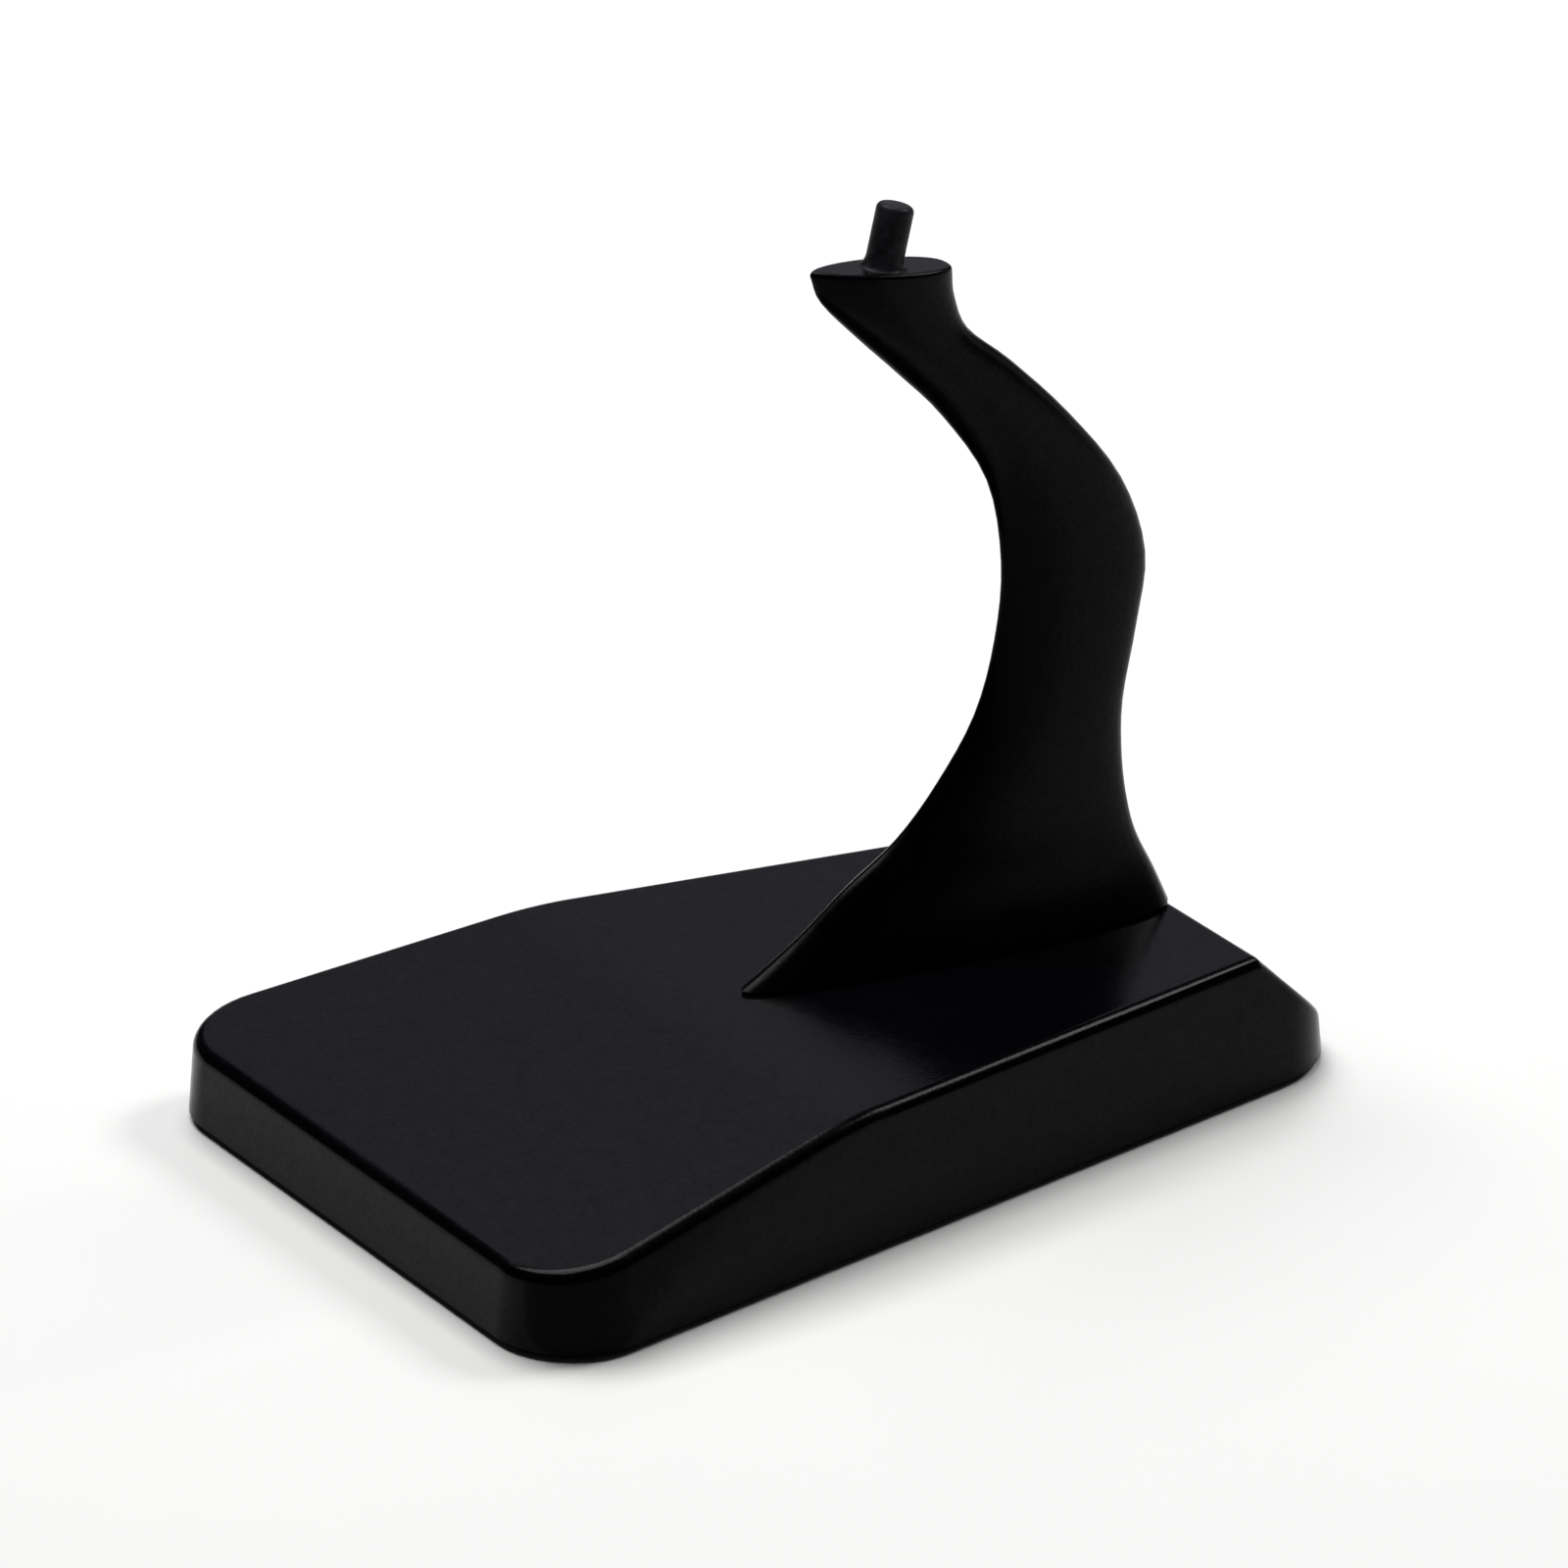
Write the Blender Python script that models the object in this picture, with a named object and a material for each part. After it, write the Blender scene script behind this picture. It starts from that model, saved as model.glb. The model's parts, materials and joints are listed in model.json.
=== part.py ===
"""Desk display stand for a small model aircraft.

A hollow moulded base with a ramped front and a flat deck carries a plug-in swan neck. The neck ends in a
tilted pad with a peg that enters the model's belly, and the base stands on four rubber feet.

Frame: origin on the table under the middle of the base, +Z up, the low front edge faces -Y,
+X to the right.
All lengths are in metres.
"""
import math

import bmesh
import bpy
from mathutils import Matrix, Vector

GAP = 0.0003                   # clearance between touching pieces

# Base shell
BASE_LENGTH = 0.0900
FRONT_HALF_WIDTH = 0.0329      # where the side line meets the front line, before the corner is rounded
REAR_HALF_WIDTH = 0.0164
FRONT_CORNER_RADIUS = 0.0076
REAR_CORNER_RADIUS = 0.0086
FRONT_HEIGHT = 0.0068          # heights are over the shell's lower edge
DECK_HEIGHT = 0.0122
REAR_HEIGHT = 0.0018
RAMP_END_Y = -0.0112
RAMP_BLEND = 0.0034
TAIL_SLOPE_Y = 0.0346
TAIL_BLEND = 0.0004
DRAFT = math.radians(3.5)
EDGE_RADIUS = 0.0012
LOWER_EDGE_CHAMFER = 0.0003
WALL = 0.0022
EDGE_LIFT = 0.0004             # lower edge over the table
RAMP_STATIONS = (-0.0260,)     # extra points along the side, on the ramp and on the deck
DECK_STATIONS = (0.0040, 0.0160, 0.0270)

# Ribs under the deck
RIB_THICKNESS = 0.0014
RIB_LOWER_Z = 0.0018
RIB_BITE = 0.0008              # how far ribs and bosses run into the wall they join
LONG_RIB_X = 0.0120
LONG_RIB_ENDS = (-0.0436, 0.0428)
CROSS_RIBS = ((-0.0200, 0.0272), (0.0160, 0.0204))    # (Y, half length)

# Feet
FOOT_RADIUS = 0.0040
FOOT_HEIGHT = 0.0015
FOOT_CHAMFER = 0.0003
FOOT_BOSS_RADIUS = 0.0050
FRONT_FOOT = (0.0230, -0.0365)
REAR_FOOT = (0.0110, 0.0285)

# Socket in the base and tongue on the neck
SOCKET_Y = 0.0160
TONGUE_LENGTH = 0.0200
TONGUE_THICKNESS = 0.0044
TONGUE_DEPTH = 0.0080
TONGUE_CORNER = 0.0010
SOCKET_BOSS_LENGTH = 0.0252
SOCKET_BOSS_WIDTH = 0.0096
SOCKET_BOSS_CORNER = 0.0020
SOCKET_BOSS_LOWER_Z = 0.0030

# Pad on top of the neck
PAD_TILT = math.radians(8.0)
PAD_TIP = (0.0007, 0.0762)
PAD_LENGTH = 0.0137
PAD_HALF_WIDTH = 0.0025
PAD_SHARPNESS = (0.62, 0.40)   # of the leading and of the trailing edge: low is blunt, 1 is a wedge
PAD_EDGE = 0.0004

# Neck, a stack of teardrops from the foot up to just under the pad: the Y and Z of each one's leading edge
# and of its trailing edge. Width and sharpness fade from the foot's to the pad's on the way up.
FOOT_HALF_WIDTH = 0.0056
FOOT_SHARPNESS = (0.53, 0.16)
WIDTH_FADE = 5.0
FOOT_Z = EDGE_LIFT + DECK_HEIGHT + GAP
NECK_EDGES = (
    (-0.0061, FOOT_Z, 0.0349, FOOT_Z),
    (-0.0006, 0.0162, 0.0339, 0.0158),
    (0.0042, 0.0197, 0.0324, 0.0192),
    (0.0092, 0.0229, 0.0317, 0.0222),
    (0.0133, 0.0271, 0.0312, 0.0264),
    (0.0171, 0.0326, 0.0313, 0.0316),
    (0.0191, 0.0391, 0.0327, 0.0381),
    (0.0197, 0.0461, 0.0336, 0.0446),
    (0.0182, 0.0538, 0.0311, 0.0518),
    (0.0137, 0.0606, 0.0257, 0.0588),
    (0.0092, 0.0654, 0.0200, 0.0646),
    (0.0054, 0.0692, 0.0157, 0.0684),
    (0.0017, 0.0732, 0.0144, 0.0716),
)
RINGS_PER_SECTION = 4
RING_POINTS = 22               # points along each side of a neck section

# Peg
PEG_TILT = math.radians(13.3)
PEG_FROM_TIP = 0.0072          # along the pad from its pointed end
PEG_RADIUS = 0.0016
PEG_HEIGHT = 0.0054            # over the pad
PEG_TIP_RADIUS = 0.0005
SPIGOT_RADIUS = 0.0009
SPIGOT_DEPTH = 0.0040
SEAT_DEPTH = 0.0006            # round recess in the pad for the peg's foot

# Modelling resolution
CORNER_STEPS = 12
EDGE_STEPS = 5
BEND_STEPS = 8
ROUND_SEGMENTS = 32
INSET_PASSES = 4               # the wall's upper end is found by repeated correction
MERGE_DISTANCE = 0.000001


def clear_scene():
    for obj in list(bpy.data.objects):
        bpy.data.objects.remove(obj, do_unlink=True)


def make_material(name, color, roughness, metallic=0.0):
    material = bpy.data.materials.new(name)
    material.use_nodes = True
    shader = material.node_tree.nodes["Principled BSDF"]
    shader.inputs["Base Color"].default_value = (*color, 1.0)
    shader.inputs["Roughness"].default_value = roughness
    shader.inputs["Metallic"].default_value = metallic
    return material


def base_plastic():
    return make_material("base_plastic", (0.0025, 0.0025, 0.0030), 0.30)


def neck_plastic():
    return make_material("neck_plastic", (0.0025, 0.0025, 0.0030), 0.30)


def peg_steel():
    return make_material("peg_steel", (0.018, 0.016, 0.020), 0.42, 1.0)


def foot_rubber():
    return make_material("foot_rubber", (0.02, 0.02, 0.02), 0.85)


def add_object(name, bm, material=None, location=(0.0, 0.0, 0.0)):
    """Turn a bmesh into an object with its faces outward."""
    bmesh.ops.recalc_face_normals(bm, faces=bm.faces)
    mesh = bpy.data.meshes.new(name)
    bm.to_mesh(mesh)
    bm.free()
    obj = bpy.data.objects.new(name, mesh)
    obj.location = location
    if material:
        mesh.materials.append(material)
    bpy.context.scene.collection.objects.link(obj)
    return obj


def combine(target, tool, operation):
    """Join or cut the target with a helper solid, which is left hidden."""
    modifier = target.modifiers.new(tool.name, "BOOLEAN")
    modifier.operation = operation
    modifier.solver = "EXACT"
    modifier.object = tool
    tool.parent = target
    tool.matrix_parent_inverse = target.matrix_basis.inverted()
    tool.hide_render = True
    tool.display_type = "WIRE"


def bend(distance, slope_in, slope_out, half):
    """Height along two slopes that meet at zero, rounded over half a length on each side."""
    if distance <= -half:
        return slope_in * distance
    if distance >= half:
        return slope_out * distance
    return slope_in * distance + (slope_out - slope_in) * (distance + half) ** 2 / (4.0 * half)


def top_height(y):
    """Height of the base's upper face over the shell's lower edge: ramp, deck, tail slope."""
    ramp = (DECK_HEIGHT - FRONT_HEIGHT) / (RAMP_END_Y + BASE_LENGTH / 2.0)
    tail = (DECK_HEIGHT - REAR_HEIGHT) / (BASE_LENGTH / 2.0 - TAIL_SLOPE_Y)
    front = bend(y - RAMP_END_Y, ramp, 0.0, RAMP_BLEND)
    rear = bend(y - TAIL_SLOPE_Y, 0.0, -tail, TAIL_BLEND)
    return DECK_HEIGHT + front + rear


def spread(low, high, steps):
    return [low + (high - low) * i / steps for i in range(steps + 1)]


def plan_half():
    """Right half of the base's plan, front to rear, as pairs of point and outward direction."""
    side_angle = math.atan2(FRONT_HALF_WIDTH - REAR_HALF_WIDTH, BASE_LENGTH)
    outward = Vector((math.cos(side_angle), math.sin(side_angle)))
    half = BASE_LENGTH / 2.0

    def corner(x, y, radius, start, end):
        centre_y = y - math.copysign(radius, y)
        reach = outward.dot(Vector((x, y))) - radius
        centre = Vector(((reach - outward.y * centre_y) / outward.x, centre_y))
        directions = [Vector((math.cos(a), math.sin(a))) for a in spread(start, end, CORNER_STEPS)]
        return [(centre + direction * radius, direction) for direction in directions]

    front = corner(FRONT_HALF_WIDTH, -half, FRONT_CORNER_RADIUS, -math.pi / 2.0, side_angle)
    rear = corner(REAR_HALF_WIDTH, half, REAR_CORNER_RADIUS, side_angle, math.pi / 2.0)
    ramp_end = spread(RAMP_END_Y - RAMP_BLEND, RAMP_END_Y + RAMP_BLEND, BEND_STEPS)
    tail_start = spread(TAIL_SLOPE_Y - TAIL_BLEND, TAIL_SLOPE_Y + TAIL_BLEND, BEND_STEPS // 2)
    stations = [*RAMP_STATIONS, *ramp_end, *DECK_STATIONS, *tail_start]
    side = []
    for y in stations:
        x = FRONT_HALF_WIDTH - (y + half) * math.tan(side_angle)
        side.append((Vector((x, y)), outward))
    return front + side + rear


def shell_column(point, direction, extra_inset, drop):
    """Upper end of a drafted wall: its plan inset and its height, both taken at the inset point."""
    height = top_height(point.y) - drop
    for _ in range(INSET_PASSES):
        inset = extra_inset + height * math.tan(DRAFT)
        height = top_height(point.y - direction.y * inset) - drop
    return inset, height


def outer_columns():
    """Points up the outside of the base wall and over its rounded top edge, one list per plan point."""
    columns = []
    for point, direction in plan_half():
        inset, height = shell_column(point, direction, EDGE_RADIUS, 0.0)
        steps = [(LOWER_EDGE_CHAMFER, 0.0), (0.0, LOWER_EDGE_CHAMFER)]
        for angle in spread(0.0, math.pi / 2.0, EDGE_STEPS):
            rise = height - EDGE_RADIUS + EDGE_RADIUS * math.sin(angle)
            steps.append((inset - EDGE_RADIUS * math.cos(angle), rise))
        columns.append([plan_point(point, direction, *step) for step in steps])
    return columns


def inner_columns():
    """Points down the inside of the base wall, from the underside of the deck to the lower edge."""
    columns = []
    for point, direction in plan_half():
        inset, height = shell_column(point, direction, WALL, WALL)
        steps = [(inset, height), (WALL, 0.0)]
        columns.append([plan_point(point, direction, *step) for step in steps])
    return columns


def plan_point(point, direction, inset, height):
    moved = point - direction * inset
    return Vector((moved.x, moved.y, height))


def ring_sets(bm, columns):
    """Vertex rings for the columns and their mirror images, with the two halves kept apart."""
    rings = []
    for level in range(len(columns[0])):
        right = [bm.verts.new(column[level]) for column in columns]
        left = [bm.verts.new((-v.co.x, v.co.y, v.co.z)) for v in right]
        rings.append((right, left))
    return rings


def bridge(bm, lower, upper):
    """Faces between two closed rings of right and left halves."""
    a = lower[0] + lower[1][::-1]
    b = upper[0] + upper[1][::-1]
    for i in range(len(a)):
        j = (i + 1) % len(a)
        bm.faces.new((a[i], a[j], b[j], b[i]))


def cap(bm, ring):
    """Flat strips across the ring from its right half to its left half."""
    right, left = ring
    for i in range(len(right) - 1):
        bm.faces.new((right[i], right[i + 1], left[i + 1], left[i]))


def prism(name, outline, lower, upper, location=(0.0, 0.0, 0.0)):
    """A solid with vertical sides between two height functions of Y."""
    bm = bmesh.new()
    bottom = [bm.verts.new((x, y, lower(y))) for x, y in outline]
    top = [bm.verts.new((x, y, upper(y))) for x, y in outline]
    bm.faces.new(bottom)
    bm.faces.new(top)
    for i in range(len(outline)):
        j = (i + 1) % len(outline)
        bm.faces.new((bottom[i], bottom[j], top[j], top[i]))
    return add_object(name, bm, location=location)


def rounded_rectangle(length, width, radius, centre_y):
    """Outline with its length along Y."""
    points = []
    for sign_x, sign_y, start in ((1, 1, 0), (-1, 1, 90), (-1, -1, 180), (1, -1, 270)):
        for angle in spread(math.radians(start), math.radians(start + 90), CORNER_STEPS // 2):
            x = sign_x * (width / 2.0 - radius) + radius * math.cos(angle)
            y = centre_y + sign_y * (length / 2.0 - radius) + radius * math.sin(angle)
            points.append((x, y))
    return points


def circle(radius, centre):
    angles = [2.0 * math.pi * i / ROUND_SEGMENTS for i in range(ROUND_SEGMENTS)]
    return [(centre[0] + radius * math.cos(a), centre[1] + radius * math.sin(a)) for a in angles]


def level(height):
    return lambda y: height


def under_deck(y):
    """A little way into the deck from below, where ribs and bosses join it."""
    return top_height(y) - WALL + RIB_BITE


def long_rib(name, x):
    """A rib along the base with its top edge following the deck."""
    half = RIB_THICKNESS / 2.0
    first, last = LONG_RIB_ENDS
    bend_stations = spread(RAMP_END_Y - RAMP_BLEND, RAMP_END_Y + RAMP_BLEND, BEND_STEPS // 2)
    bm = bmesh.new()
    rows = []
    for y in [first, *bend_stations, TAIL_SLOPE_Y, last]:
        lower = [(x - half, y, RIB_LOWER_Z), (x + half, y, RIB_LOWER_Z)]
        upper = [(x + half, y, under_deck(y)), (x - half, y, under_deck(y))]
        rows.append([bm.verts.new(corner) for corner in lower + upper])
    bm.faces.new(rows[0])
    bm.faces.new(rows[-1])
    for a, b in zip(rows, rows[1:]):
        for i in range(4):
            j = (i + 1) % 4
            bm.faces.new((a[i], a[j], b[j], b[i]))
    return add_object(name, bm)


def cross_rib(name, y, half_length):
    front, back = y - RIB_THICKNESS / 2.0, y + RIB_THICKNESS / 2.0
    outline = [(-half_length, front), (half_length, front), (half_length, back), (-half_length, back)]
    return prism(name, outline, level(RIB_LOWER_Z), level(under_deck(y)))


def foot_places():
    """Name and centre of each foot."""
    places = []
    for row, (x, y) in (("front", FRONT_FOOT), ("rear", REAR_FOOT)):
        places.append((f"{row}_left", (-x, y)))
        places.append((f"{row}_right", (x, y)))
    return places


def build_base_shell():
    bm = bmesh.new()
    outer = ring_sets(bm, outer_columns())
    inner = ring_sets(bm, inner_columns())
    for lower, upper in zip(outer, outer[1:]):
        bridge(bm, lower, upper)
    bridge(bm, inner[0], inner[1])
    bridge(bm, inner[1], outer[0])
    cap(bm, outer[-1])
    cap(bm, inner[0])
    shell = add_object("base_shell", bm, base_plastic())

    for side, x in (("left", -LONG_RIB_X), ("right", LONG_RIB_X)):
        combine(shell, long_rib(f"rib_{side}", x), "UNION")
    for number, (y, half_length) in enumerate(CROSS_RIBS, start=1):
        combine(shell, cross_rib(f"cross_rib_{number}", y, half_length), "UNION")
    foot_seat = FOOT_HEIGHT + GAP - EDGE_LIFT
    for name, centre in foot_places():
        boss = prism(f"boss_{name}", circle(FOOT_BOSS_RADIUS, centre), level(foot_seat), under_deck)
        combine(shell, boss, "UNION")
    boss_outline = rounded_rectangle(SOCKET_BOSS_LENGTH, SOCKET_BOSS_WIDTH, SOCKET_BOSS_CORNER, SOCKET_Y)
    combine(shell, prism("socket_boss", boss_outline, level(SOCKET_BOSS_LOWER_Z), under_deck), "UNION")
    slot_outline = rounded_rectangle(
        TONGUE_LENGTH + 2.0 * GAP, TONGUE_THICKNESS + 2.0 * GAP, TONGUE_CORNER + GAP, SOCKET_Y
    )
    slot = prism("socket_slot", slot_outline, level(-DECK_HEIGHT), level(2.0 * DECK_HEIGHT))
    combine(shell, slot, "DIFFERENCE")
    shell.location.z = EDGE_LIFT
    return shell


def pad_axes():
    """The pad's pointed end, its direction toward the rear, and its upward normal."""
    tip = Vector((0.0, *PAD_TIP))
    rearward = Vector((0.0, math.cos(PAD_TILT), -math.sin(PAD_TILT)))
    upward = Vector((0.0, math.sin(PAD_TILT), math.cos(PAD_TILT)))
    return tip, rearward, upward


def pad_edges():
    """Leading and trailing edge of the pad's outline, one edge rounding below the pad's face."""
    tip, rearward, upward = pad_axes()
    lead = tip - upward * PAD_EDGE
    trail = lead + rearward * PAD_LENGTH
    return lead.y, lead.z, trail.y, trail.z


def fade(low, high, share):
    return low + (high - low) * share


def neck_sections():
    """Edges, half width and sharpness of each section, from the foot to the pad."""
    edges = NECK_EDGES + (pad_edges(),)
    sections = []
    for number, edge in enumerate(edges):
        rise = number / (len(edges) - 1)
        half_width = fade(PAD_HALF_WIDTH, FOOT_HALF_WIDTH, (1.0 - rise) ** WIDTH_FADE)
        sharpness = [fade(foot, pad, rise) for foot, pad in zip(FOOT_SHARPNESS, PAD_SHARPNESS)]
        sections.append((*edge, half_width, *sharpness))
    return sections


def through_sections(sections, position):
    """A smooth curve through the section values, at a position counted in sections."""
    last = len(sections) - 1
    i = min(int(position), last - 1)
    u = position - i
    values = []
    for column in zip(*sections):
        p1, p2 = column[i], column[i + 1]
        p0 = column[i - 1] if i > 0 else 2.0 * p1 - p2
        p3 = column[i + 2] if i + 2 <= last else 2.0 * p2 - p1
        cubic = 3.0 * (p1 - p2) + p3 - p0
        values.append(p1 + 0.5 * u * (p2 - p0 + u * (2.0 * p0 - 5.0 * p1 + 4.0 * p2 - p3 + u * cubic)))
    return values


def teardrop(section):
    """Right half of a section, from the leading edge to the trailing edge."""
    lead_y, lead_z, trail_y, trail_z, half_width, front_power, rear_power = section
    widest = front_power / (front_power + rear_power)
    peak = widest ** front_power * (1.0 - widest) ** rear_power
    points = []
    for angle in spread(0.0, math.pi, RING_POINTS):
        s = (1.0 - math.cos(angle)) / 2.0
        x = half_width * max(s, 0.0) ** front_power * max(1.0 - s, 0.0) ** rear_power / peak
        points.append(Vector((x, lead_y + (trail_y - lead_y) * s, lead_z + (trail_z - lead_z) * s)))
    points[0].x = 0.0
    points[-1].x = 0.0
    return points


def neck_ring(bm, points):
    """Closed ring from a half section and its mirror image, which share the two edge points."""
    right = [bm.verts.new(p) for p in points]
    left = [bm.verts.new((-p.x, p.y, p.z)) for p in points[1:-1]]
    return right + left[::-1]


def rounded_pad_rim(points, angle):
    """The pad's outline partway over its rounded edge: 0 is its side and 90 degrees is its face."""
    _, rearward, upward = pad_axes()
    middle = (points[0] + points[-1]) / 2.0
    inset = PAD_EDGE * (1.0 - math.cos(angle))
    across = 1.0 - inset / PAD_HALF_WIDTH
    along = 1.0 - 2.0 * inset / PAD_LENGTH
    rim = []
    for p in points:
        offset = (p - middle).dot(rearward)
        centre_line = middle + rearward * offset * along + upward * PAD_EDGE * math.sin(angle)
        rim.append(centre_line + Vector((p.x * across, 0.0, 0.0)))
    return rim


def peg_frame():
    """Where the peg's axis leaves the pad, as a matrix with Z along the peg."""
    tip, rearward, _ = pad_axes()
    return Matrix.Translation(tip + rearward * PEG_FROM_TIP) @ Matrix.Rotation(-PEG_TILT, 4, "X")


def build_neck():
    """The neck's origin is on its sliding axis, at the deck."""
    origin = Vector((0.0, SOCKET_Y, EDGE_LIFT + DECK_HEIGHT))
    sections = neck_sections()
    count = (len(sections) - 1) * RINGS_PER_SECTION
    bm = bmesh.new()
    outlines = [teardrop(through_sections(sections, i / RINGS_PER_SECTION)) for i in range(count + 1)]
    side = outlines[-1]
    outlines.extend(rounded_pad_rim(side, angle) for angle in spread(0.0, math.pi / 2.0, EDGE_STEPS)[1:])
    rings = [neck_ring(bm, [p - origin for p in outline]) for outline in outlines]
    for lower, upper in zip(rings, rings[1:]):
        for i in range(len(lower)):
            j = (i + 1) % len(lower)
            bm.faces.new((lower[i], lower[j], upper[j], upper[i]))
    bm.faces.new(rings[0])
    bm.faces.new(rings[-1])
    neck = add_object("neck", bm, neck_plastic(), origin)

    outline = rounded_rectangle(TONGUE_LENGTH, TONGUE_THICKNESS, TONGUE_CORNER, 0.0)
    tongue = prism("tongue", outline, level(-TONGUE_DEPTH), level(GAP + RIB_BITE), origin)
    combine(neck, tongue, "UNION")

    cut_pad(neck, "peg_bore", SPIGOT_RADIUS + GAP, SPIGOT_DEPTH + GAP)
    cut_pad(neck, "peg_seat", PEG_RADIUS + GAP, SEAT_DEPTH)
    return neck


def cut_pad(neck, name, radius, depth):
    """A round hole down into the pad, along the peg's axis."""
    cutter = prism(name, circle(radius, (0.0, 0.0)), level(-depth), level(depth))
    cutter.matrix_world = peg_frame()
    combine(neck, cutter, "DIFFERENCE")


def lathe(name, profile, material):
    """A round solid turned about Z from a profile that starts and ends on the axis."""
    bm = bmesh.new()
    verts = [bm.verts.new((radius, 0.0, z)) for radius, z in profile]
    edges = [bm.edges.new(pair) for pair in zip(verts, verts[1:])]
    bmesh.ops.spin(
        bm, geom=verts + edges, cent=(0.0, 0.0, 0.0), axis=(0.0, 0.0, 1.0),
        angle=2.0 * math.pi, steps=ROUND_SEGMENTS, use_duplicate=False,
    )
    bmesh.ops.remove_doubles(bm, verts=bm.verts, dist=MERGE_DISTANCE)
    obj = add_object(name, bm, material)
    for polygon in obj.data.polygons:
        polygon.use_smooth = True
    return obj


def build_peg(neck):
    """A round pin whose foot stands in the pad's recess, with a spigot down into the bore."""
    foot = GAP - SEAT_DEPTH
    spigot = [(0.0, -SPIGOT_DEPTH), (SPIGOT_RADIUS, -SPIGOT_DEPTH), (SPIGOT_RADIUS, foot)]
    profile = [*spigot, (PEG_RADIUS, foot)]
    for angle in spread(0.0, math.pi / 2.0, EDGE_STEPS):
        radius = PEG_RADIUS - PEG_TIP_RADIUS * (1.0 - math.cos(angle))
        profile.append((radius, PEG_HEIGHT - PEG_TIP_RADIUS * (1.0 - math.sin(angle))))
    profile.append((0.0, PEG_HEIGHT))
    peg = lathe("peg", profile, peg_steel())
    peg.parent = neck
    peg.matrix_parent_inverse = neck.matrix_basis.inverted()
    peg.matrix_basis = peg_frame()
    return peg


def build_feet(shell):
    rubber = foot_rubber()
    under = [(0.0, 0.0), (FOOT_RADIUS - FOOT_CHAMFER, 0.0), (FOOT_RADIUS, FOOT_CHAMFER)]
    profile = [*under, (FOOT_RADIUS, FOOT_HEIGHT), (0.0, FOOT_HEIGHT)]
    for name, (x, y) in foot_places():
        foot = lathe(f"foot_{name}", profile, rubber)
        foot.parent = shell
        foot.location = (x, y, -EDGE_LIFT)


def build_stand():
    clear_scene()
    shell = build_base_shell()
    neck = build_neck()
    build_peg(neck)
    build_feet(shell)


build_stand()
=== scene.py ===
"""Looks of a small display stand for a model aircraft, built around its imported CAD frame.

Lengths are in metres unless a name or comment says otherwise. The base's low front edge faces -Y and +Z is
up. The camera stands to the front right of the object and above it.
"""
import json
import math

import bpy
import numpy
from mathutils import Matrix, Vector
from mathutils.geometry import convex_hull_2d


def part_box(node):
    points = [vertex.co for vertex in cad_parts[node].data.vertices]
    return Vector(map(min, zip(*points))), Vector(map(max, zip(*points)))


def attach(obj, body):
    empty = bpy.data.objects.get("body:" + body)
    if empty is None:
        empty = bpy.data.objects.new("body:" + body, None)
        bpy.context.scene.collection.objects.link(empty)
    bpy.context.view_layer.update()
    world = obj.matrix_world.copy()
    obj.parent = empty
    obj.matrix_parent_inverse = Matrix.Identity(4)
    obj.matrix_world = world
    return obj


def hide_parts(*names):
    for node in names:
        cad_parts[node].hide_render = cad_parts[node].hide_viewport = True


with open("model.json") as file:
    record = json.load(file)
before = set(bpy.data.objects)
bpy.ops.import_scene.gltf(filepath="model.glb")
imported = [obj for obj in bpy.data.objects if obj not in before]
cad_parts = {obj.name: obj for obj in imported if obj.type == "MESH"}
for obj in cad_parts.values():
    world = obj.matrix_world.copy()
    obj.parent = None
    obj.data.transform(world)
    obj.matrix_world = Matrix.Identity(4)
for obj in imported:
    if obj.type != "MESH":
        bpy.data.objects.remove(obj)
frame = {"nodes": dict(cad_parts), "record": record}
bpy.context.view_layer.update()

# Camera
CAMERA_PLACE = (0.823668, -0.526919, 0.459015)
CAMERA_AIM = (0.0, -0.001914, 0.030878)
LENS_MM = 293.2

# Studio: name, place, size, power in watts, colour. Each light looks at the middle of the object.
WHITE = (1.0, 1.0, 1.0)
COOL = (1.0, 0.98, 1.14)
LIGHTS = (
    ("key_softbox", (-0.35, 0.00, 1.00), 0.75, 13.0, WHITE),
    ("rear_softbox", (0.05, 0.85, 0.85), 0.35, 5.0, WHITE),
    ("far_panel", (-0.95, 0.62, 0.55), 0.90, 0.98, COOL),
    ("far_panel_high", (-0.66, 0.31, 0.68), 0.54, 0.20, COOL),
    ("rear_panel_low", (0.02, 1.20, 0.22), 0.40, 0.25, WHITE),
)
LIGHT_AIM = (0.0, 0.0, 0.02)
BACKDROP_COLOUR = (0.86, 0.86, 0.86)
ROOM_COLOUR = (0.02, 0.02, 0.021)

# Floor
FLOOR_SIZE = 8.0
FLOOR_COLOUR = (0.80, 0.80, 0.79)

# Grey card on the floor, on the camera's side. It shows only in reflections.
CARD_OUTLINE = ((0.020, -1.000), (0.600, -1.000), (1.000, 0.270), (0.060, 0.035), (0.020, -0.070))
CARD_LIFT = 0.0003
CARD_COLOUR = (0.38, 0.38, 0.38)

# Smooth shading
CRISP_ANGLE = math.radians(40.0)
MERGE_DISTANCE = 0.000001
NORMAL_WEIGHT = 80

# All materials. Sizes and depths of patterns are in millimetres; a tint multiplies the material's colour.
MM = 0.001
NOISE_RANGE = (0.3, 0.7)           # where most of the noise lies
UP_RANGE = (0.5, 0.9)              # how far a face has to point up to hold dust

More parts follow.
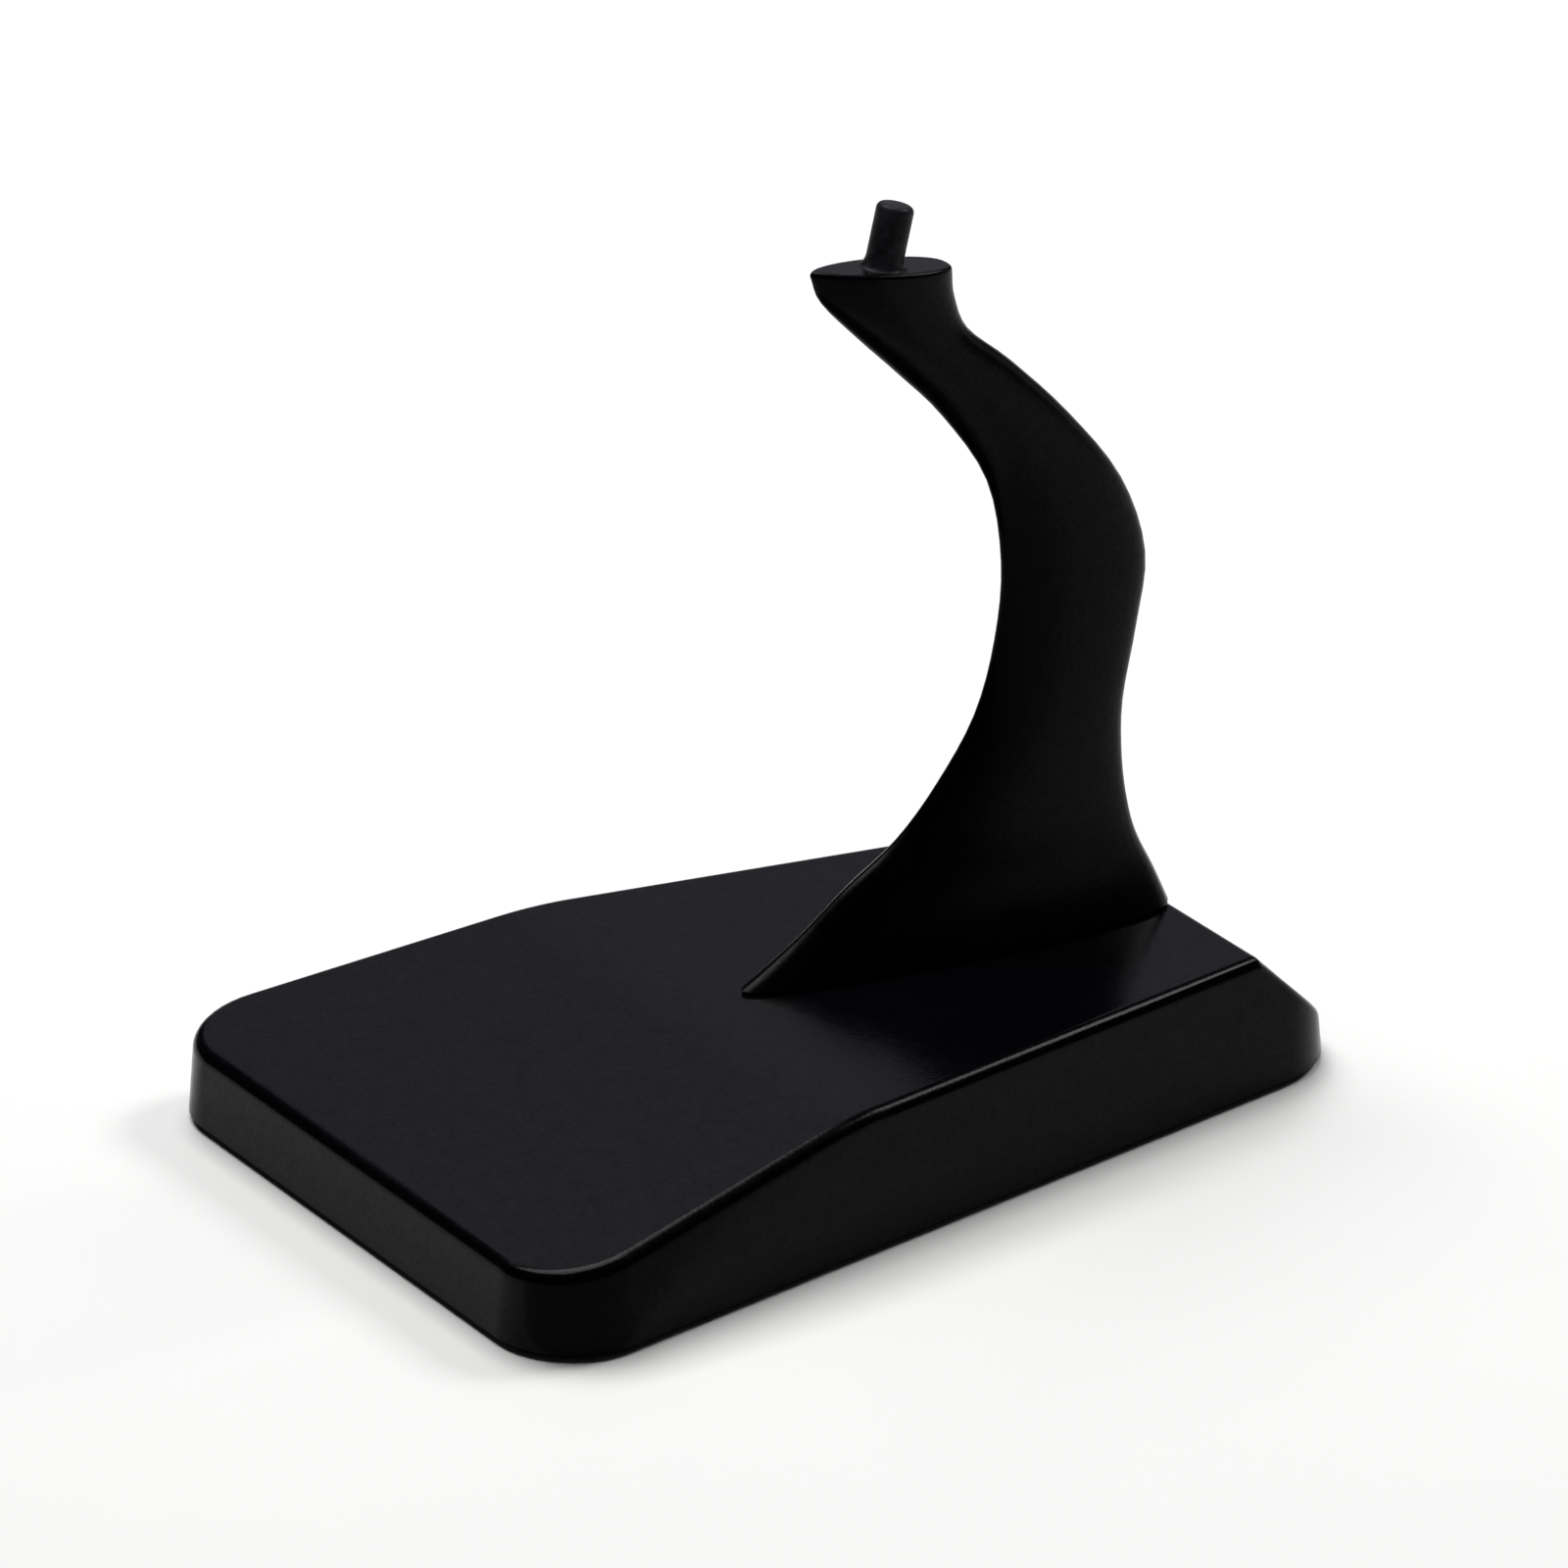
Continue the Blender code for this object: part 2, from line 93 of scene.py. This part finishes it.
# Moulded plastic
PLASTIC_IOR = 1.15
PLASTIC_COLOUR = (0.0006, 0.0004, 0.0009)      # near black, a little purple
BASE_ROUGHNESS, BASE_GRAIN = 0.20, 0.42
NECK_ROUGHNESS, NECK_GRAIN = 0.27, 0.38
GRAIN_DEPTH = 0.010
GRAIN_SHINE = (0.42, 0.58)
FLOW_SIZE = 14.0
FLOW_TINTS = (0.85, 1.15)
FLOW_ROUGHNESS = 0.02
WAVE_SIZE = 9.0
WAVE_DEPTH = 0.020
MOTTLE_SIZE = 1.6
MOTTLE_RANGE = (0.35, 0.75)
MOTTLE_COVER = 0.30
MOTTLE_TINT = 1.7
MOTTLE_ROUGHNESS = 0.025
MOTTLE_DEPTH = 0.008
MOTTLE_SHINE = (0.94, 1.06)
RUBBED_RANGE = (0.53, 0.60)
RUBBED_COVER = 0.5
RUBBED_TINT = 2.6
RUBBED_POLISH = 0.05
MARK_SETS = ((0.5, 9.0, 0.24), (-0.9, 6.0, 0.22))      # turn in radians, length, share of the surface
MARK_WIDTH = 0.10
MARK_CORE = 0.9
MARK_POLISH = 0.04
MARK_DEPTH = 0.0015
DUST_SPACING = 3.4
DUST_RADIUS = 0.07
DUST_SHARE = 0.22                  # of the cells between specks that have one
DUST_CORE = 0.4
DUST_SURE = 0.8
DUST_COLOUR = (0.20, 0.19, 0.18)
DUST_COVER = 0.10
DUST_ROUGHNESS = 0.3

# Blackened steel
STEEL_COAT_IOR = 1.15
STEEL_TINT = 0.65                  # of the record's colour
STEEL_ROUGHNESS = 0.40
PATCH_SIZE = 0.9
PATCH_RANGE = (0.35, 0.65)
PATCH_TINTS = (0.55, 1.5)
RIM_RANGE = (0.54, 0.62)
RIM_COVER = 0.6
RIM_TINT = 2.0
SPOT_SIZE = 0.25
SPOT_ROUGHNESS = (0.32, 0.48)
SPOT_DEPTH = 0.010

# Rubber
RUBBER_IOR = 1.45
RUBBER_ROUGHNESS = 0.85
RUBBER_CLOUD_SIZE = 1.2
RUBBER_TINTS = (0.7, 1.6)
PORE_SIZE = 0.18
PORE_ROUGHNESS = (0.78, 0.94)
PORE_DEPTH = 0.02

# Paper
PAPER_IOR = 1.45
PAPER_ROUGHNESS = 0.75
PAPER_SHINE = 0.2
PAPER_CLOUD_SIZE = 60.0
PAPER_TINTS = (0.985, 1.015)
TOOTH_SIZE = 0.5
TOOTH_DEPTH = 0.01

# Peg
PEG_TIP_ROUND = 0.00055
PEG_FLARE = 0.00052                # how far the foot spreads over the recess it stands in
PEG_FLARE_HEIGHT = 0.0009
PEG_SINK = 0.00025                 # how far the foot goes down into the recess
ARC_STEPS = 8
PEG_SEGMENTS = 64

# Land under the neck's foot, which fills the clearance over the deck
LAND_INSET = 0.00006
LAND_LIFT = 0.00002                # over the deck
LAND_BITE = 0.00005                # into the foot
SAME_LEVEL = 0.00001


class Graph:
    """A material's node tree, with helpers that add nodes and link them. Patterns are in millimetres."""

    def __init__(self, name, colour, roughness, ior):
        self.material = bpy.data.materials.new(name)
        self.material.use_nodes = True
        self.tree = self.material.node_tree
        self.shader = self.tree.nodes["Principled BSDF"]
        self.shader.inputs["Base Color"].default_value = (*colour, 1.0)
        self.shader.inputs["Roughness"].default_value = roughness
        self.shader.inputs["IOR"].default_value = ior
        coordinates = self.tree.nodes.new("ShaderNodeTexCoord")
        self.place = self.stretch(coordinates.outputs["Object"], (1.0 / MM, 1.0 / MM, 1.0 / MM))

    def put(self, socket, value):
        """Links a socket to another node's output, or sets it to a constant."""
        if isinstance(value, bpy.types.NodeSocket):
            self.tree.links.new(value, socket)
        else:
            socket.default_value = value

    def stretch(self, vector, scale, turn=(0.0, 0.0, 0.0)):
        node = self.tree.nodes.new("ShaderNodeMapping")
        node.inputs["Scale"].default_value = scale
        node.inputs["Rotation"].default_value = turn
        self.put(node.inputs["Vector"], vector)
        return node.outputs["Vector"]

    def noise(self, size, detail=2.0, vector=None):
        """Smooth noise whose features are about that size."""
        node = self.tree.nodes.new("ShaderNodeTexNoise")
        node.inputs["Scale"].default_value = 1.0 / size
        node.inputs["Detail"].default_value = detail
        self.put(node.inputs["Vector"], vector or self.place)
        return node.outputs["Fac"]

    def remap(self, value, low, high, out_low=0.0, out_high=1.0):
        node = self.tree.nodes.new("ShaderNodeMapRange")
        self.put(node.inputs["Value"], value)
        limits = (("From Min", low), ("From Max", high), ("To Min", out_low), ("To Max", out_high))
        for name, number in limits:
            node.inputs[name].default_value = number
        return node.outputs["Result"]

    def calculate(self, operation, first, second):
        node = self.tree.nodes.new("ShaderNodeMath")
        node.operation = operation
        self.put(node.inputs[0], first)
        self.put(node.inputs[1], second)
        return node.outputs["Value"]

    def product(self, first, second):
        return self.calculate("MULTIPLY", first, second)

    def total(self, first, *others):
        for value in others:
            first = self.calculate("ADD", first, value)
        return first

    def mix(self, share, first, second):
        """A colour between two colours."""
        node = self.tree.nodes.new("ShaderNodeMix")
        node.data_type = "RGBA"
        self.put(node.inputs["Factor"], share)
        for name, colour in (("A", first), ("B", second)):
            socket = next(s for s in node.inputs if s.name == name and s.type == "RGBA")
            self.put(socket, colour if isinstance(colour, bpy.types.NodeSocket) else (*colour, 1.0))
        return next(s for s in node.outputs if s.type == "RGBA")

    def bump(self, height, depth, below=None):
        """Relief of that depth, laid over the relief below it."""
        node = self.tree.nodes.new("ShaderNodeBump")
        node.inputs["Distance"].default_value = depth * MM
        self.put(node.inputs["Height"], height)
        if below:
            self.put(node.inputs["Normal"], below)
        return node.outputs["Normal"]

    def ridges(self, low, high):
        """1 on convex edges and 0 on flat faces."""
        geometry = self.tree.nodes.new("ShaderNodeNewGeometry")
        return self.remap(geometry.outputs["Pointiness"], low, high)

    def facing_up(self):
        """1 on faces that point up, where dust settles."""
        geometry = self.tree.nodes.new("ShaderNodeNewGeometry")
        split = self.tree.nodes.new("ShaderNodeSeparateXYZ")
        self.put(split.inputs["Vector"], geometry.outputs["Normal"])
        return self.remap(split.outputs["Z"], *UP_RANGE)

    def dust(self):
        """Sparse round specks, in some of the cells, on faces that point up."""
        node = self.tree.nodes.new("ShaderNodeTexVoronoi")
        node.inputs["Scale"].default_value = 1.0 / DUST_SPACING
        self.put(node.inputs["Vector"], self.place)
        radius = DUST_RADIUS / DUST_SPACING
        inside = self.remap(node.outputs["Distance"], radius, DUST_CORE * radius)
        split = self.tree.nodes.new("ShaderNodeSeparateColor")
        self.put(split.inputs["Color"], node.outputs["Color"])
        chosen = self.remap(split.outputs["Red"], DUST_SHARE, DUST_SURE * DUST_SHARE)
        return self.product(self.product(inside, chosen), self.facing_up())

    def hairlines(self, turn, length, share):
        """Thin straight marks along one direction in the horizontal plane."""
        scale = (1.0 / length, 1.0 / MARK_WIDTH, 1.0 / length)
        lines = self.noise(1.0, 1.0, self.stretch(self.place, scale, (0.0, 0.0, turn)))
        return self.remap(lines, 1.0 - share, 1.0 - MARK_CORE * share)

    def finish(self, colour=None, roughness=None, normal=None, shine=None):
        inputs = {"Base Color": colour, "Roughness": roughness, "Normal": normal, "Specular IOR Level": shine}
        for name, value in inputs.items():
            if value is not None:
                self.put(self.shader.inputs[name], value)
        return self.material


def tint(colour, factor):
    return tuple(channel * factor for channel in colour)


def tints(colour, factors):
    return [tint(colour, factor) for factor in factors]


def black_plastic(name, colour, roughness, grain_size):
    """Satin moulded plastic: fine spark-eroded grain, flow marks, hairline marks, rubbed edges and dust."""
    graph = Graph(name, colour, roughness, PLASTIC_IOR)
    flow = graph.noise(FLOW_SIZE)
    wave = graph.noise(WAVE_SIZE, detail=1.0)
    mottle = graph.noise(MOTTLE_SIZE, detail=3.0)
    grain = graph.noise(grain_size)
    rubbed = graph.ridges(*RUBBED_RANGE)
    marks = graph.total(*(graph.hairlines(*lines) for lines in MARK_SETS))
    dust = graph.dust()

    mottled = graph.remap(mottle, *MOTTLE_RANGE, 0.0, MOTTLE_COVER)
    body = graph.mix(flow, *tints(colour, FLOW_TINTS))
    body = graph.mix(mottled, body, tint(colour, MOTTLE_TINT))
    body = graph.mix(graph.product(rubbed, RUBBED_COVER), body, tint(colour, RUBBED_TINT))
    body = graph.mix(graph.product(dust, DUST_COVER), body, DUST_COLOUR)

    level = graph.total(
        graph.remap(flow, *NOISE_RANGE, roughness - FLOW_ROUGHNESS, roughness + FLOW_ROUGHNESS),
        graph.remap(mottle, *NOISE_RANGE, -MOTTLE_ROUGHNESS, MOTTLE_ROUGHNESS),
        graph.product(rubbed, -RUBBED_POLISH),
        graph.product(marks, -MARK_POLISH),
        graph.product(dust, DUST_ROUGHNESS),
    )

    normal = graph.bump(wave, WAVE_DEPTH)
    normal = graph.bump(mottle, MOTTLE_DEPTH, normal)
    normal = graph.bump(grain, GRAIN_DEPTH, normal)
    normal = graph.bump(graph.product(marks, -1.0), MARK_DEPTH, normal)

    grain_shine = graph.remap(grain, *NOISE_RANGE, *GRAIN_SHINE)
    mottle_shine = graph.remap(mottle, *NOISE_RANGE, *MOTTLE_SHINE)
    return graph.finish(body, level, normal, graph.product(grain_shine, mottle_shine))


def blackened_steel(name, colour):
    """A turned pin with a dark, slightly purple coating that is patchy and rubbed thin at the rim."""
    dark = tint(colour, STEEL_TINT)
    graph = Graph(name, dark, STEEL_ROUGHNESS, STEEL_COAT_IOR)
    patches = graph.remap(graph.noise(PATCH_SIZE, detail=4.0), *PATCH_RANGE)
    spots = graph.noise(SPOT_SIZE)
    rim = graph.product(graph.ridges(*RIM_RANGE), RIM_COVER)
    body = graph.mix(patches, *tints(dark, PATCH_TINTS))
    body = graph.mix(rim, body, tint(dark, RIM_TINT))
    level = graph.remap(spots, *NOISE_RANGE, *SPOT_ROUGHNESS)
    return graph.finish(body, level, graph.bump(spots, SPOT_DEPTH))


def foot_rubber(name, colour):
    """Matt rubber, clouded, with a pressed pattern of fine pores."""
    graph = Graph(name, colour, RUBBER_ROUGHNESS, RUBBER_IOR)
    pores = graph.noise(PORE_SIZE, detail=3.0)
    body = graph.mix(graph.noise(RUBBER_CLOUD_SIZE), *tints(colour, RUBBER_TINTS))
    level = graph.remap(pores, *NOISE_RANGE, *PORE_ROUGHNESS)
    return graph.finish(body, level, graph.bump(pores, PORE_DEPTH))


def matt_paper(name, colour):
    """Matt paper with a hardly visible tooth."""
    graph = Graph(name, colour, PAPER_ROUGHNESS, PAPER_IOR)
    body = graph.mix(graph.noise(PAPER_CLOUD_SIZE), *tints(colour, PAPER_TINTS))
    tooth = graph.bump(graph.noise(TOOTH_SIZE), TOOTH_DEPTH)
    return graph.finish(body, None, tooth, PAPER_SHINE)


def smooth_by_angle():
    """Geometry nodes that join a mesh's split vertices and shade it smooth, with steep edges kept crisp."""
    tree = bpy.data.node_groups.new("smooth_by_angle", "GeometryNodeTree")
    for direction in ("INPUT", "OUTPUT"):
        tree.interface.new_socket("Geometry", in_out=direction, socket_type="NodeSocketGeometry")
    add = tree.nodes.new
    stored_normals = add("GeometryNodeRemoveAttribute")
    stored_normals.inputs["Name"].default_value = "custom_normal"
    merged = add("GeometryNodeMergeByDistance")
    merged.inputs["Distance"].default_value = MERGE_DISTANCE
    faces = add("GeometryNodeSetShadeSmooth")
    faces.domain = "FACE"
    edges = add("GeometryNodeSetShadeSmooth")
    edges.domain = "EDGE"
    angle = add("GeometryNodeInputMeshEdgeAngle")
    gentle = add("FunctionNodeCompare")
    gentle.operation = "LESS_THAN"
    gentle.inputs["B"].default_value = CRISP_ANGLE
    tree.links.new(angle.outputs["Unsigned Angle"], gentle.inputs["A"])
    tree.links.new(gentle.outputs["Result"], edges.inputs["Shade Smooth"])
    chain = [add("NodeGroupInput"), stored_normals, merged, faces, edges, add("NodeGroupOutput")]
    for before, after in zip(chain, chain[1:]):
        tree.links.new(before.outputs[0], after.inputs[0])
    return tree


def shade_smoothly(obj, tree):
    """Rounded surfaces look round, and flat faces stay flat right up to their rounded edges."""
    smooth = obj.modifiers.new("smooth_by_angle", "NODES")
    smooth.node_group = tree
    weighted = obj.modifiers.new("weighted_normals", "WEIGHTED_NORMAL")
    weighted.mode = "FACE_AREA"
    weighted.weight = NORMAL_WEIGHT
    weighted.keep_sharp = True


def mesh_object(name, points, faces, material):
    mesh = bpy.data.meshes.new(name)
    mesh.from_pydata(points, [], faces)
    mesh.shade_smooth()
    mesh.materials.append(material)
    obj = bpy.data.objects.new(name, mesh)
    bpy.context.scene.collection.objects.link(obj)
    return obj


def flat_object(name, outline, height, material):
    """One level face, with its outline given anticlockwise from above."""
    return mesh_object(name, [(x, y, height) for x, y in outline], [range(len(outline))], material)


def quarter_turn():
    """Angles from 0 to a quarter turn, in even steps."""
    return [math.pi / 2.0 * i / ARC_STEPS for i in range(ARC_STEPS + 1)]


def peg_measures():
    """The CAD peg's place, radius and height, and the pad's slope. Z runs up the peg from the pad's face."""
    points = numpy.array([v.co for v in frame["nodes"]["peg"].data.vertices])
    middle = points.mean(axis=0)
    axis = Vector(numpy.linalg.svd(points - middle)[2][0])      # the way the points are spread out most
    axis = axis if axis.z > 0.0 else -axis
    pad = next(m for m in frame["record"]["mounts"] if m["name"] == "belly_pad")
    face_point, face_normal = Vector(pad["pos_m"]), Vector(pad["axis"]).normalized()
    middle = Vector(middle)
    foot = middle + axis * (face_point - middle).dot(face_normal) / axis.dot(face_normal)
    across = Vector((1.0, 0.0, 0.0))
    rearward = axis.cross(across)
    turn = Matrix((across, rearward, axis)).transposed().to_4x4()
    height = max((Vector(p) - foot).dot(axis) for p in points)
    slope = -face_normal.dot(rearward) / face_normal.dot(axis)
    return Matrix.Translation(foot) @ turn, points[:, 0].max(), height, slope


def peg_profile(radius, height):
    """Radii and heights of rings from the foot in the recess, over the flare, up to the rounded tip."""
    foot_radius = radius + PEG_FLARE
    rings = [(foot_radius, -PEG_SINK)]
    for angle in quarter_turn():
        rise = PEG_FLARE_HEIGHT * (1.0 - math.cos(angle))
        rings.append((foot_radius - PEG_FLARE * math.sin(angle), rise))
    for angle in quarter_turn():
        inset = PEG_TIP_ROUND * (1.0 - math.cos(angle))
        drop = PEG_TIP_ROUND * (1.0 - math.sin(angle))
        rings.append((radius - inset, height - drop))
    return rings


def lathe_faces(rings):
    """Faces round PEG_SEGMENTS points in each ring, closed at both ends by a point on the axis."""
    after = [(i + 1) % PEG_SEGMENTS for i in range(PEG_SEGMENTS)]
    last = (rings - 1) * PEG_SEGMENTS
    bottom = rings * PEG_SEGMENTS
    top = bottom + 1
    faces = [(bottom, j, i) for i, j in enumerate(after)]
    for ring in range(0, last, PEG_SEGMENTS):
        above = ring + PEG_SEGMENTS
        faces += [(ring + i, ring + j, above + j, above + i) for i, j in enumerate(after)]
    return faces + [(last + i, last + j, top) for i, j in enumerate(after)]


def build_peg():
    """The turned pin. Its flared foot covers the recess and follows the slope of the pad's face."""
    place, radius, height, slope = peg_measures()
    profile = peg_profile(radius, height)
    turns = [2.0 * math.pi * i / PEG_SEGMENTS for i in range(PEG_SEGMENTS)]
    points = []
    for reach, level in profile:
        share = min(1.0, max(0.0, 1.0 - level / PEG_FLARE_HEIGHT))
        for turn in turns:
            y = reach * math.sin(turn)
            points.append((reach * math.cos(turn), y, level + y * slope * share))
    points += [(0.0, 0.0, -PEG_SINK), (0.0, 0.0, height)]
    peg = mesh_object("belly_peg", points, lathe_faces(len(profile)), materials["peg_steel"])
    peg.matrix_world = place
    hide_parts("peg")
    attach(peg, "neck")


def build_foot_land():
    """A thin land under the neck's foot, with the foot's own outline, that stands on the deck."""
    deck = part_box("base_shell")[1][2]
    points = [v.co for v in frame["nodes"]["neck"].data.vertices]
    foot = min(p.z for p in points if p.z > deck)
    outline = [Vector((p.x, p.y)) for p in points if abs(p.z - foot) < SAME_LEVEL]
    outline = [outline[i] for i in convex_hull_2d(outline)]
    middle = sum(outline, Vector((0.0, 0.0))) / len(outline)
    outline = [p - (p - middle).normalized() * LAND_INSET for p in outline]
    count = len(outline)
    corners = [(p.x, p.y, z) for z in (deck + LAND_LIFT, foot + LAND_BITE) for p in outline]
    faces = [range(count - 1, -1, -1), range(count, 2 * count)]
    faces += [(i, j, j + count, i + count) for i, j in zip(range(count), [*range(1, count), 0])]
    land = mesh_object("neck_foot_land", corners, faces, materials["neck_plastic"])
    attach(land, "neck")
    shade_smoothly(land, smooth_tree)


def build_floor():
    half = FLOOR_SIZE / 2.0
    outline = ((-half, -half), (half, -half), (half, half), (-half, half))
    flat_object("floor", outline, 0.0, matt_paper("pale_paper", FLOOR_COLOUR))


def build_card():
    """The grey card that darkens the reflections in the near corner and in the front half of the neck."""
    card = flat_object("grey_card", CARD_OUTLINE, CARD_LIFT, matt_paper("grey_paper", CARD_COLOUR))
    card.visible_camera = False
    card.visible_diffuse = False
    card.visible_shadow = False


def place_aimed(obj, place, target):
    """Puts a light or the camera in the scene, looking at the target."""
    obj.location = place
    obj.rotation_euler = (Vector(target) - Vector(place)).to_track_quat("-Z", "Y").to_euler()
    bpy.context.scene.collection.objects.link(obj)


def build_lights():
    for name, place, size, power, colour in LIGHTS:
        light = bpy.data.lights.new(name, "AREA")
        light.size = size
        light.energy = power
        light.color = colour
        place_aimed(bpy.data.objects.new(name, light), place, LIGHT_AIM)


def build_world():
    """A dim room round the object, and a pale backdrop behind it."""
    world = bpy.data.worlds.new("studio")
    bpy.context.scene.world = world
    world.use_nodes = True
    tree = world.node_tree
    room = tree.nodes["Background"]
    room.inputs["Color"].default_value = (*ROOM_COLOUR, 1.0)
    backdrop = tree.nodes.new("ShaderNodeBackground")
    backdrop.inputs["Color"].default_value = (*BACKDROP_COLOUR, 1.0)
    ray = tree.nodes.new("ShaderNodeLightPath")
    mix = tree.nodes.new("ShaderNodeMixShader")
    tree.links.new(ray.outputs["Is Camera Ray"], mix.inputs["Fac"])
    tree.links.new(room.outputs["Background"], mix.inputs[1])
    tree.links.new(backdrop.outputs["Background"], mix.inputs[2])
    tree.links.new(mix.outputs["Shader"], tree.nodes["World Output"].inputs["Surface"])


def build_camera():
    camera = bpy.data.cameras.new("camera")
    camera.lens = LENS_MM
    obj = bpy.data.objects.new("camera", camera)
    place_aimed(obj, CAMERA_PLACE, CAMERA_AIM)
    bpy.context.scene.camera = obj
    bpy.context.scene.view_settings.view_transform = "Standard"


colours = {m["slot"]: tuple(m["base_color"]) for m in frame["record"]["materials"]}
materials = {
    "base_plastic": black_plastic("satin_black_base", PLASTIC_COLOUR, BASE_ROUGHNESS, BASE_GRAIN),
    "neck_plastic": black_plastic("satin_black_neck", PLASTIC_COLOUR, NECK_ROUGHNESS, NECK_GRAIN),
    "peg_steel": blackened_steel("blackened_steel", colours["peg_steel"]),
    "foot_rubber": foot_rubber("black_rubber", colours["foot_rubber"]),
}
smooth_tree = smooth_by_angle()
for subpart in frame["record"]["subparts"]:
    node = frame["nodes"][subpart["node"]]
    shade_smoothly(node, smooth_tree)
    node.material_slots[0].material = materials[subpart["material_slot"]]

build_peg()
build_foot_land()
build_floor()
build_card()
build_lights()
build_world()
build_camera()
